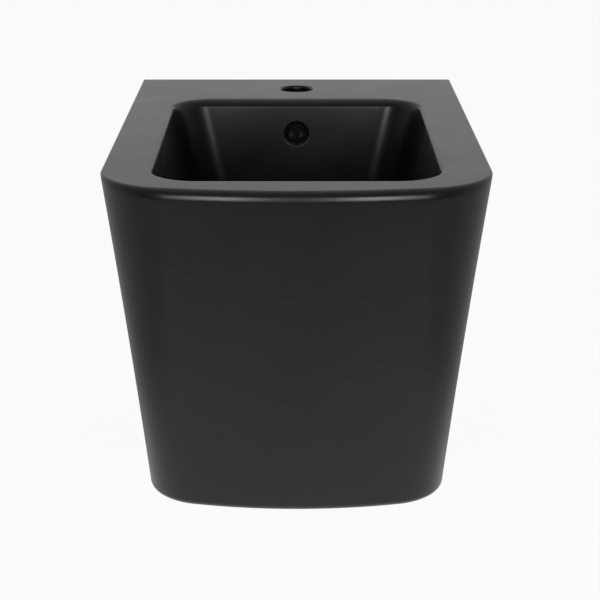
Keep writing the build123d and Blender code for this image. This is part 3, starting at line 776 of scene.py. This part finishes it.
waste = {
    "flangeRadius": 0.0325, "topZ": -0.0595, "flangeZ": -0.0625, "edge": 0.0012, "seatRadius": 0.020,
    "seatDepth": 0.0025, "tubeRadius": 0.02095, "boreRadius": 0.0175, "endZ": -0.1375,
    "threadTopZ": -0.1065, "threadPitch": 0.0015, "threadDepth": 0.00065, "threadEnd": 0.001,
    "slotHalf": 0.0065, "slotTopZ": -0.0765, "slotEndZ": -0.0925,
    "hubRadius": 0.009, "hubTopZ": -0.0865, "hubEndZ": -0.0945, "hubHole": 0.0045, "webHalf": 0.0015,
    "webAngles": (45, 135),
}


def makeWaste():
    w = waste
    corners = [(w["boreRadius"], w["endZ"]), (w["boreRadius"], w["topZ"] - w["seatDepth"])]
    corners += [(w["seatRadius"], w["topZ"]), (w["flangeRadius"], w["topZ"], w["edge"])]
    corners += [(w["flangeRadius"], w["flangeZ"]), (w["tubeRadius"], w["flangeZ"], 0)]
    z = w["threadTopZ"]
    while z - w["threadPitch"] > w["endZ"] + w["threadEnd"]:
        corners.append((w["tubeRadius"], z, 0))
        corners.append((w["tubeRadius"] - w["threadDepth"], z - w["threadPitch"] / 2, 0))
        z -= w["threadPitch"]
    corners += [(w["tubeRadius"], z, 0), (w["tubeRadius"], w["endZ"])]
    piece = turned("wasteBody", corners, drainPlace, steps=128)
    y, reach, half = drain["y"], w["tubeRadius"] + past["near"], w["slotHalf"]
    for sizeX, sizeY in ((half, reach), (reach, half)):
        low, high = (-sizeX, y - sizeY, w["slotEndZ"]), (sizeX, y + sizeY, w["slotTopZ"])
        carve(piece, boxBetween("slotCut", low, high))
    low, high = w["hubEndZ"], w["hubTopZ"]
    corners = [(0, low), (w["hubRadius"], low), (w["hubRadius"], high), (0, high)]
    hub = turned("hub", corners, drainPlace, steps=64)
    reach = w["boreRadius"] + past["joint"]
    for angle in w["webAngles"]:
        web = boxBetween("web", (-reach, -w["webHalf"], low), (reach, w["webHalf"], high))
        settle(web, drainPlace, (0, 0, angle))
        carve(hub, web, how="UNION")
    carve(piece, hub, how="UNION")
    low, high = low - past["near"], high + past["near"]
    carve(piece, drilled("hubCut", w["hubHole"], low, high, drainPlace, steps=48))
    finishPiece(piece, "bidet", "waste_body", "chromed_brass")


plug = {
    "radius": 0.030, "underZ": -0.0492, "edge": 0.004, "topRounding": 0.0012, "crown": 0.0025,
    "crownSteps": 16, "stemRadius": 0.0035, "socketDepth": 0.003, "sealInner": 0.022, "sealOuter": 0.026,
    "grooveDepth": 0.002, "grooveEdge": 0.0003, "sealZ": -0.0512, "sealHeight": 0.004, "sealRounding": 0.0012,
    "headRadius": 0.0049, "headTopZ": -0.0626, "footZ": -0.0696,
}


def makePlug():
    p = plug
    underZ, inner, outer, edge = p["underZ"], p["sealInner"], p["sealOuter"], p["grooveEdge"]
    topZ, socketZ, grooveZ = underZ + p["edge"], underZ + p["socketDepth"], underZ + p["grooveDepth"]
    ballRadius = (p["radius"] ** 2 + p["crown"] ** 2) / (2 * p["crown"])
    corners = [(0, socketZ), (p["stemRadius"], socketZ, 0), (p["stemRadius"], underZ), (inner, underZ, edge)]
    corners += [(inner, grooveZ, 0), (outer, grooveZ, 0), (outer, underZ, edge), (p["radius"], underZ)]
    corners.append((p["radius"], topZ, p["topRounding"]))
    for i in range(1, p["crownSteps"]):
        radius = p["radius"] * (1 - i / p["crownSteps"])
        corners.append((radius, topZ + p["crown"] - ballRadius + sqrt(ballRadius ** 2 - radius ** 2), 0))
    corners.append((0, topZ + p["crown"]))
    cap = turned("plugCap", corners, drainPlace, steps=128)
    finishPiece(cap, "plug", "plug_cap", "black_coating")
    low, high, soft = p["sealZ"], p["sealZ"] + p["sealHeight"], p["sealRounding"]
    corners = [(inner, low, soft), (outer, low, soft), (outer, high), (inner, high)]
    seal = turned("plugSeal", corners, drainPlace)
    finishPiece(seal, "plug", "plug_seal_ring", "black_rubber")
    corners = [(0, p["footZ"]), (p["headRadius"], p["footZ"]), (p["headRadius"], p["headTopZ"])]
    corners += [(p["stemRadius"], p["headTopZ"], 0), (p["stemRadius"], socketZ), (0, socketZ)]
    stem = turned("plugStem", corners, drainPlace, steps=48)
    finishPiece(stem, "plug", "plug_stem", "chromed_brass")


spring = {
    "wire": 0.00045, "wireSteps": 12, "radius": 0.00415, "lowZ": -0.085, "highZ": -0.0696,
    "turns": 7, "steps": 24, "squeezed": 0.4805, "smoothAngle": 50,
}


def makeSpring():
    s = spring
    restNothing()
    start = s["lowZ"] + s["wire"]
    bpy.ops.mesh.primitive_circle_add(vertices=s["wireSteps"], radius=s["wire"], fill_type="NOTHING")
    piece = bpy.context.object
    piece.name = "plugSpring"
    settle(piece, (s["radius"], 0, start), (90, 0, 0))
    rise = (s["highZ"] - s["wire"] - start) / s["turns"]
    count = {"iterations": s["turns"], "steps": s["steps"], "render_steps": s["steps"]}
    applyModifier(piece, "SCREW", axis="Z", screw_offset=rise, **count)
    editWhole(piece)
    bpy.ops.mesh.fill_holes(sides=0)
    bpy.ops.object.mode_set(mode="OBJECT")
    settle(piece, drainPlace)
    finishPiece(piece, "bidet", "plug_spring", "zinc_steel", s["smoothAngle"])
    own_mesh(piece)


lower = {
    "holeRadius": 0.02105, "gasketRadius": 0.03395, "crownRadius": 0.02795, "gasketHeight": 0.006,
    "gasketEdge": 0.001, "crownEdge": 0.0008, "washerRadius": 0.03295, "washerHeight": 0.0015,
    "nutFlats": 0.0559, "nutHeight": 0.008, "cornerCut": 0.0008, "cornerDrop": 0.0012,
    "boreFlare": 0.0018, "boreEdge": 0.0008, "nutSides": 6, "nutAngle": 20,
}


# The rubber cone, the slip washer and the back nut that clamp the waste under the boss
def makeLowerClamp():
    c = lower
    hole, top = c["holeRadius"], drain["bossEndZ"]
    low, outer, edge = top - c["gasketHeight"], c["gasketRadius"], c["gasketEdge"]
    corners = [(hole, low), (outer, low, edge), (outer, low + c["gasketHeight"] / 2, edge)]
    corners += [(c["crownRadius"], top, c["crownEdge"]), (hole, top)]
    gasket = turned("lowerGasket", corners, drainPlace)
    finishPiece(gasket, "bidet", "waste_lower_gasket", "black_rubber")
    top, low, outer = low, low - c["washerHeight"], c["washerRadius"]
    washer = turned("slipWasher", [(hole, low), (outer, low), (outer, top), (hole, top)], drainPlace)
    finishPiece(washer, "bidet", "waste_slip_washer", "white_plastic")
    top, low = low, low - c["nutHeight"]
    restNothing()
    flats, sides = c["nutFlats"] / 2, c["nutSides"]
    cornerRadius = flats / cos(pi / sides)
    bpy.ops.mesh.primitive_cylinder_add(vertices=sides, radius=cornerRadius, depth=c["nutHeight"])
    nut = bpy.context.object
    nut.name = "lockNut"
    settle(nut, (0, drain["y"], (top + low) / 2), (0, 0, 180 / sides))
    width, drop = cornerRadius - c["cornerCut"], c["cornerDrop"]
    corners = [(0, low), (flats, low, 0), (width, low + drop), (width, top - drop), (flats, top, 0), (0, top)]
    carve(nut, turned("nutTurning", corners, drainPlace, steps=144), how="INTERSECT")
    flare, edge, end = hole + c["boreFlare"], c["boreEdge"], past["thin"]
    corners = [(0, low - end), (flare, low - end), (hole, low + edge), (hole, top - edge)]
    corners += [(flare, top + end), (0, top + end)]
    carve(nut, turnProfile("nutBore", corners, drainPlace, 128))
    finishPiece(nut, "bidet", "waste_lock_nut", "raw_brass", c["nutAngle"])


grip = {"flutes": 24, "fluteRadius": 0.0019, "fluteDepth": 0.001, "start": 0.004, "bevel": 0.001}


# A nut with a lip at its foot, a thread bore above it and flutes for the hand
def makeUnionNut(name, size, place, tilt):
    outer, thread, lipBore = size["radius"], size["thread"], size["lipBore"]
    low, lip, high = size["low"], size["lip"], size["high"]
    corners = [(lipBore, low), (outer - grip["bevel"], low), (outer, low + grip["bevel"])]
    corners += [(outer, high - grip["bevel"]), (outer - grip["bevel"], high)]
    corners += [(thread, high), (thread, low + lip, 0), (lipBore, low + lip)]
    nut = turned(name, corners, (0, 0, 0), steps=144)
    start, end = low + grip["start"], high + past["near"]
    for i in range(grip["flutes"]):
        angle = 2 * pi * i / grip["flutes"]
        away = outer + grip["fluteRadius"] - grip["fluteDepth"]
        spot = (away * cos(angle), away * sin(angle), 0)
        carve(nut, drilled("flute", grip["fluteRadius"], start, end, spot, steps=24))
    settle(nut, place, (tilt, 0, 0))
    return nut


inletNut = {
    "radius": 0.02605, "thread": 0.02105, "lipBore": 0.0176, "low": -0.1455, "lip": 0.003, "high": -0.1275,
}
outletNut = {
    "radius": 0.0239, "thread": 0.0189, "lipBore": 0.0163, "low": 0.204, "lip": 0.003, "high": 0.222,
}
trap = {
    "collarRadius": 0.02065, "collarTopZ": -0.1395, "collarEndZ": -0.1425, "neckRadius": 0.0175,
    "headRadius": 0.030, "headTopZ": -0.1515, "headEndZ": -0.1915, "shoulder": 0.006, "wall": 0.002,
    "neckFillet": 0.0008, "neckBore": 0.0141, "seatRadius": 0.0161, "seatDepth": 0.001, "outletZ": -0.1715,
    "socketRadius": 0.0188, "socketEndY": -0.212, "socketBore": 0.0163, "stopY": -0.232, "stopBore": 0.0145,
}
cup = {
    "radius": 0.030, "bottomZ": -0.252, "topZ": -0.1935, "threadRadius": 0.0279, "threadTopZ": -0.1835,
    "hollowRadius": 0.026, "floorZ": -0.248, "foot": 0.008, "innerFoot": 0.006,
    "bandTopZ": -0.1965, "bandLowZ": -0.2045, "bandDepth": 0.0007,
}
pipe = {
    "radius": 0.016, "bore": 0.0145, "startY": -0.232, "bevel": 0.0008,
    "markY": -0.040, "markWidth": 0.003, "markDepth": 0.0003,
}


def makeTrap():
    t, y, outletPlace = trap, drain["y"], (0, 0, trap["outletZ"])
    head, collar, neck = t["headRadius"], t["collarRadius"], t["neckRadius"]
    corners = [(0, t["headEndZ"]), (head, t["headEndZ"]), (head, t["headTopZ"], t["shoulder"])]
    corners += [(neck, t["headTopZ"], t["neckFillet"]), (neck, t["collarEndZ"], 0)]
    corners += [(collar, t["collarEndZ"]), (collar, t["collarTopZ"]), (0, t["collarTopZ"])]
    body = turned("trapBody", corners, drainPlace, steps=128)
    outer, socketEnd, stop, more = t["socketRadius"], -t["socketEndY"], -t["stopY"], past["near"]
    socket = [(0, socketEnd), (outer, socketEnd), (outer, -y), (0, -y)]
    carve(body, turned("socket", socket, outletPlace, 90), how="UNION")
    for radius, low, high, place, tilt in (
        (head - t["wall"], t["headEndZ"] - more, t["headTopZ"] - t["wall"], drainPlace, 0),
        (t["neckBore"], t["headTopZ"] - past["far"], t["collarTopZ"] + more, drainPlace, 0),
        (t["seatRadius"], t["collarTopZ"] - t["seatDepth"], t["collarTopZ"] + more, drainPlace, 0),
        (t["socketBore"], socketEnd - more, stop, outletPlace, 90),
        (t["stopBore"], stop - more, -y, outletPlace, 90),
    ):
        carve(body, drilled("trapCut", radius, low, high, place, tilt))
    finishPiece(body, "bidet", "trap_body", "chromed_brass")
    nut = makeUnionNut("inletNut", inletNut, drainPlace, 0)
    finishPiece(nut, "bidet", "trap_inlet_nut", "chromed_brass")
    nut = makeUnionNut("outletNut", outletNut, outletPlace, 90)
    finishPiece(nut, "bidet", "trap_outlet_nut", "chromed_brass")
    c = cup
    outer, thread, hollow, band = c["radius"], c["threadRadius"], c["hollowRadius"], c["bandDepth"]
    corners = [(0, c["bottomZ"]), (outer, c["bottomZ"], c["foot"])]
    corners += [(outer, c["bandLowZ"]), (outer - band, c["bandLowZ"] + band)]
    corners += [(outer - band, c["bandTopZ"] - band), (outer, c["bandTopZ"])]
    corners += [(outer, c["topZ"]), (thread, c["topZ"], 0), (thread, c["threadTopZ"])]
    corners += [(hollow, c["threadTopZ"]), (hollow, c["floorZ"], c["innerFoot"]), (0, c["floorZ"])]
    piece = turned("trapCup", corners, drainPlace, steps=128)
    finishPiece(piece, "bidet", "trap_cup", "chromed_brass")
    p = pipe
    outer, bore, bevel, length = p["radius"], p["bore"], p["bevel"], -p["startY"]
    mark, markEnd, sunk = -p["markY"], -p["markY"] + p["markWidth"], outer - p["markDepth"]
    corners = [(bore, 0), (outer - bevel, 0), (outer, bevel), (outer, mark, 0), (sunk, mark, 0)]
    corners += [(sunk, markEnd, 0), (outer, markEnd, 0), (outer, length), (bore, length)]
    piece = turned("outletPipe", corners, outletPlace, 90)
    finishPiece(piece, "bidet", "outlet_pipe", "chromed_brass")


clamp = {
    "bore": 0.0065, "bushRadius": 0.0118, "flangeRadius": 0.017, "lugEnd": 0.030, "flange": 0.003,
    "washerRadius": 0.015, "washer": 0.0025, "capRadius": 0.01237, "capBore": 0.01087, "capEnd": 0.0583,
    "capWall": 0.0015, "capEdge": 0.003, "capBand": 0.004, "capStep": 0.0006, "capInside": 0.0015,
    "bushEdge": 0.001, "softEdge": 0.0003,
}


def makeFixings():
    c = clamp
    bore, radius, flange, edge = c["bore"], c["bushRadius"], c["flangeRadius"], c["bushEdge"]
    flangeEnd = c["lugEnd"] + c["flange"]
    bush = [(bore, 0), (radius, 0, edge), (radius, c["lugEnd"], 0)]
    bush += [(flange, c["lugEnd"]), (flange, flangeEnd, edge), (bore, flangeEnd)]
    radius, end = c["washerRadius"], flangeEnd + c["washer"]
    washer = [(bore, flangeEnd), (radius, flangeEnd), (radius, end), (bore, end)]
    radius, inner, bandEnd, top = c["capRadius"], c["capBore"], end + c["capBand"], c["capEnd"] - c["capWall"]
    step = radius - c["capStep"]
    cap = [(inner, end), (radius, end), (radius, bandEnd), (step, bandEnd, 0)]
    cap += [(step, c["capEnd"], c["capEdge"]), (0, c["capEnd"]), (0, top), (inner, top, c["capInside"])]
    for name, corners, node, slot in (
        ("fixingBushes", bush, "fixing_bushes", "white_plastic"),
        ("fixingWashers", washer, "fixing_washers", "zinc_steel"),
        ("fixingCaps", cap, "fixing_nut_caps", "white_plastic"),
    ):
        left, right = (turned(name, corners, place, 90, c["softEdge"], 64) for place in fixingPlaces)
        finishPiece(pairUp(left, right, name), "bidet", node, slot)


makeWaste()
makePlug()
makeSpring()
makeLowerClamp()
makeTrap()
makeFixings()

# CAD nodes whose shape is right, most of them inside others: they keep their mesh and get a finish
kept = {
    "waste_flange_seal": "black_rubber", "click_sleeve": "raw_brass",
    "trap_inlet_seal": "black_rubber", "trap_dip_tube": "white_plastic", "trap_cup_seal": "black_rubber",
    "trap_outlet_seal": "black_rubber", "fixing_nuts": "zinc_steel",
}
for name, slot in kept.items():
    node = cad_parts[name]
    node.data.materials.clear()
    node.data.materials.append(finishes[slot])
print("fittings done")


# Camera at the photograph's angle

view = {
    "place": (0, -1.913, 0.440), "pitch": -18.30, "lens": 98.6, "shiftX": 0.00575,
    "sensor": 36, "farthest": 50,
}
camera = bpy.data.objects.new("camera", bpy.data.cameras.new("camera"))
bpy.context.scene.collection.objects.link(camera)
camera.location = view["place"]
camera.rotation_euler = (radians(90 + view["pitch"]), 0, 0)
camera.data.lens = view["lens"]
camera.data.sensor_width = view["sensor"]
camera.data.shift_x = view["shiftX"]
camera.data.clip_end = view["farthest"]
bpy.context.scene.camera = camera

# The floor carries a painted pool of light: pale just in front of the bidet, painted dark grey further out,
# beneath the bidet and to the sides, which sets what its front face reflects
studio = {
    "floorZ": -0.320, "floorSize": 8.0, "floorColour": (0.80, 0.80, 0.80), "shadowShare": 0.05,
    "paintedShadeColour": (0.20, 0.20, 0.20), "paintedPoolY": (-1.10, 0.10),
    "paintedPoolStops": ((-1.02, 0.0), (-0.50, 1.0), (-0.36, 0.85), (-0.15, 0.28)),
    "paintedPoolSide": (1, 0.28, 0.16, 0.42), "behind": 0.62, "behindWhite": 0.2, "front": 0.19,
    "floorRoughness": 0.9, "turnY": (-0.9, 0.5), "whiteY": (0.2, 0.7),
    "lampWatts": 12, "lampSize": (0.30, 1.0), "lampPlace": (0.45, -1.98, 0.24), "lampAim": (0, -0.50, 0.12),
}


def addLamp(name, place, aim, size, watts):
    lamp = bpy.data.lights.new(name, "AREA")
    lamp.shape = "RECTANGLE"
    lamp.size, lamp.size_y = size
    lamp.energy = watts
    holder = bpy.data.objects.new(name, lamp)
    bpy.context.scene.collection.objects.link(holder)
    holder.location = place
    holder.rotation_euler = (Vector(aim) - Vector(place)).to_track_quat("-Z", "Y").to_euler()
    holder.visible_camera = False


# White where the camera looks, and also for glossy and transmitted rays as far as "fade" says; on the floor
# that is the painted pool of light
def addWhiteShare(nodes, links, fade, cameraShare):
    path = nodes.new("ShaderNodeLightPath")
    both = addMath(nodes, links, "ADD", path.outputs["Is Glossy Ray"], path.outputs["Is Transmission Ray"])
    faded = addMath(nodes, links, "MULTIPLY", both, fade)
    seen = addMath(nodes, links, "MULTIPLY", path.outputs["Is Camera Ray"], cameraShare)
    return addMath(nodes, links, "MAXIMUM", faded, seen)


def makeFloor():
    restNothing()
    bpy.ops.mesh.primitive_plane_add(size=studio["floorSize"], location=(0, 0, studio["floorZ"]))
    floor = bpy.context.object
    floor.name = "floor"
    material, nodes, links, shader = newMaterial("floorPaintedPool")
    shader.inputs["Roughness"].default_value = studio["floorRoughness"]
    shader.inputs["Specular IOR Level"].default_value = 0.0
    # Painted pool of light: the floor's colour is pale near the bidet's front and painted dark further out
    # and to the sides, and glossy rays see white only as far as this pool reaches
    axes = addAxes(nodes, links, "Object")
    low, high = studio["paintedPoolY"]
    ramp = nodes.new("ShaderNodeValToRGB")
    links.new(addRange(nodes, links, axes["Y"], 0, 1, low, high), ramp.inputs["Fac"])
    stops = ramp.color_ramp.elements
    while len(stops) < len(studio["paintedPoolStops"]):
        stops.new(1.0)
    for stop, (y, level) in zip(stops, studio["paintedPoolStops"]):
        stop.position = (y - low) / (high - low)
        stop.color = (level, level, level, 1)
    sideways = addRange(nodes, links, addMath(nodes, links, "ABSOLUTE", axes["X"]), *studio["paintedPoolSide"])
    fade = addMath(nodes, links, "MINIMUM", ramp.outputs["Color"], sideways)
    colour = mixColour(nodes, links, fade, studio["paintedShadeColour"], studio["floorColour"])
    links.new(colour, shader.inputs["Base Color"])
    share = addWhiteShare(nodes, links, fade, 1 - studio["shadowShare"])
    glow = nodes.new("ShaderNodeEmission")
    white = nodes.new("ShaderNodeMixShader")
    links.new(share, white.inputs[0])
    links.new(shader.outputs["BSDF"], white.inputs[1])
    links.new(glow.outputs["Emission"], white.inputs[2])
    clear = nodes.new("ShaderNodeBsdfTransparent")  # seen from below, the floor lets the view through
    geometry = nodes.new("ShaderNodeNewGeometry")
    under = nodes.new("ShaderNodeMixShader")
    links.new(geometry.outputs["Backfacing"], under.inputs[0])
    links.new(white.outputs["Shader"], under.inputs[1])
    links.new(clear.outputs["BSDF"], under.inputs[2])
    output = next(n for n in nodes if n.type == "OUTPUT_MATERIAL")
    links.new(under.outputs["Shader"], output.inputs["Surface"])
    material.cycles.emission_sampling = "NONE"
    floor.data.materials.append(material)


def makeWorld():
    world = bpy.data.worlds.new("studio")
    bpy.context.scene.world = world
    world.use_nodes = True
    nodes, links = world.node_tree.nodes, world.node_tree.links
    nodes.clear()
    output = nodes.new("ShaderNodeOutputWorld")
    axes = addAxes(nodes, links, "Generated")
    level = addRange(nodes, links, axes["Y"], studio["front"], studio["behind"], *studio["turnY"])
    level.node.interpolation_type = "SMOOTHSTEP"
    room, white = nodes.new("ShaderNodeBackground"), nodes.new("ShaderNodeBackground")
    for background in (room, white):
        background.inputs["Color"].default_value = (1, 1, 1, 1)
    links.new(level, room.inputs["Strength"])
    behind = addRange(nodes, links, axes["Y"], 0, studio["behindWhite"], *studio["whiteY"])
    mix = nodes.new("ShaderNodeMixShader")
    links.new(addWhiteShare(nodes, links, behind, 1.0), mix.inputs[0])
    links.new(room.outputs["Background"], mix.inputs[1])
    links.new(white.outputs["Background"], mix.inputs[2])
    links.new(mix.outputs["Shader"], output.inputs["Surface"])


makeFloor()
makeWorld()
lampX, lampY, lampZ = studio["lampPlace"]
for name, x in (("boxLeft", -lampX), ("boxRight", lampX)):
    addLamp(name, (x, lampY, lampZ), studio["lampAim"], studio["lampSize"], studio["lampWatts"])
bpy.context.scene.view_settings.view_transform = "Standard"
print("studio done")
